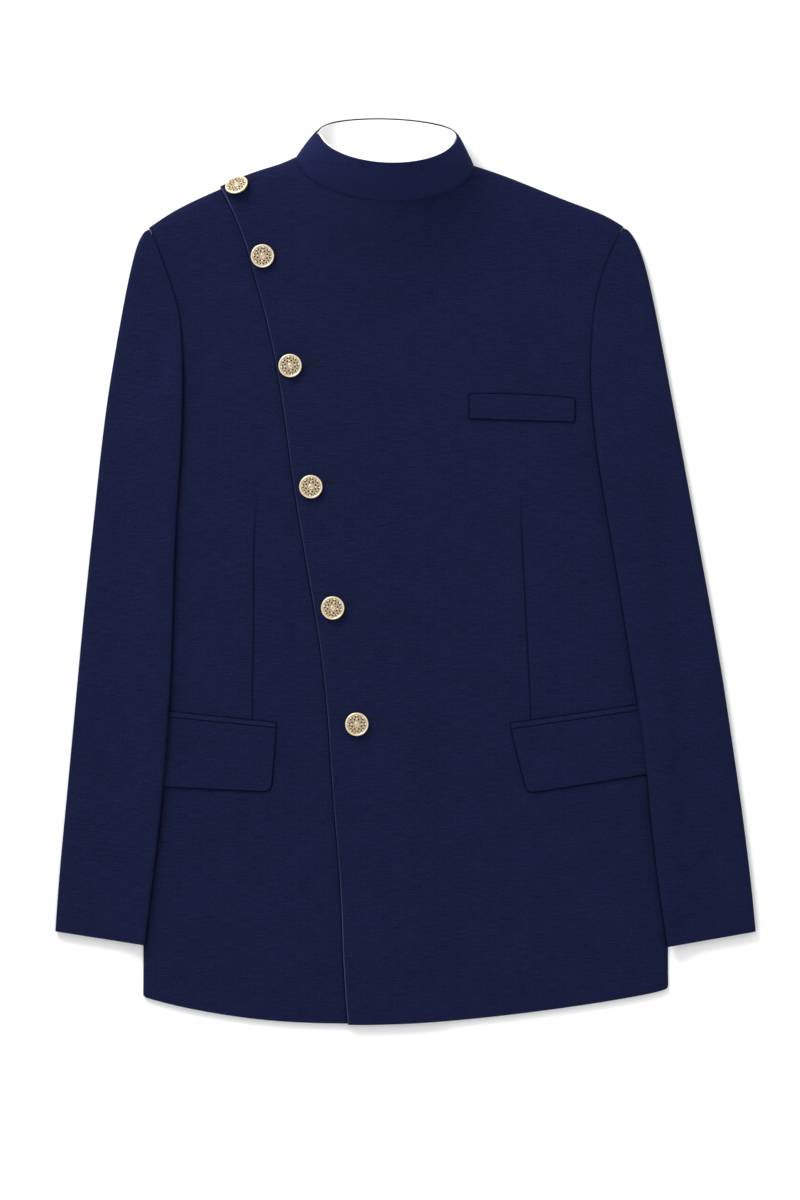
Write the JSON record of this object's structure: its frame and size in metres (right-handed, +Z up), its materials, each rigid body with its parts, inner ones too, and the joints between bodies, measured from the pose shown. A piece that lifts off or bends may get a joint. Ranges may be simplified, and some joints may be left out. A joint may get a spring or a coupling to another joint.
{
  "type": "bandhgala jacket",
  "caption": "Long-sleeved jacket with a stand collar and an off-centre buttoned front, lying flat on its back.",
  "frame": {"origin": "on the surface that the jacket lies on, under the middle of its outline", "axes": "+X towards the wearer's left, +Y from the hem to the collar, +Z up from the surface"},
  "size_m": [0.6446, 0.8344, 0.0618],
  "materials": {
    "navy_cloth": "matt woven wool blend",
    "white_lining": "smooth lining cloth",
    "gold_metal": "cast and lightly polished"
  },
  "bodies": {
    "root": {"back_left": "navy_cloth", "back_right": "navy_cloth", "front_left": "navy_cloth", "front_right": "navy_cloth", "sleeve_top_left": "navy_cloth", "sleeve_top_right": "navy_cloth", "sleeve_under_left": "navy_cloth", "sleeve_under_right": "navy_cloth", "collar_band": "navy_cloth", "chest_welt": "navy_cloth", "hip_jet_left": "navy_cloth", "hip_jet_right": "navy_cloth", "hip_flap_left": "navy_cloth", "hip_flap_right": "navy_cloth", "collar_lining": "white_lining", "button_1": "gold_metal", "button_2": "gold_metal", "button_3": "gold_metal", "button_4": "gold_metal", "button_5": "gold_metal", "button_6": "gold_metal"}
  },
  "joints": []
}
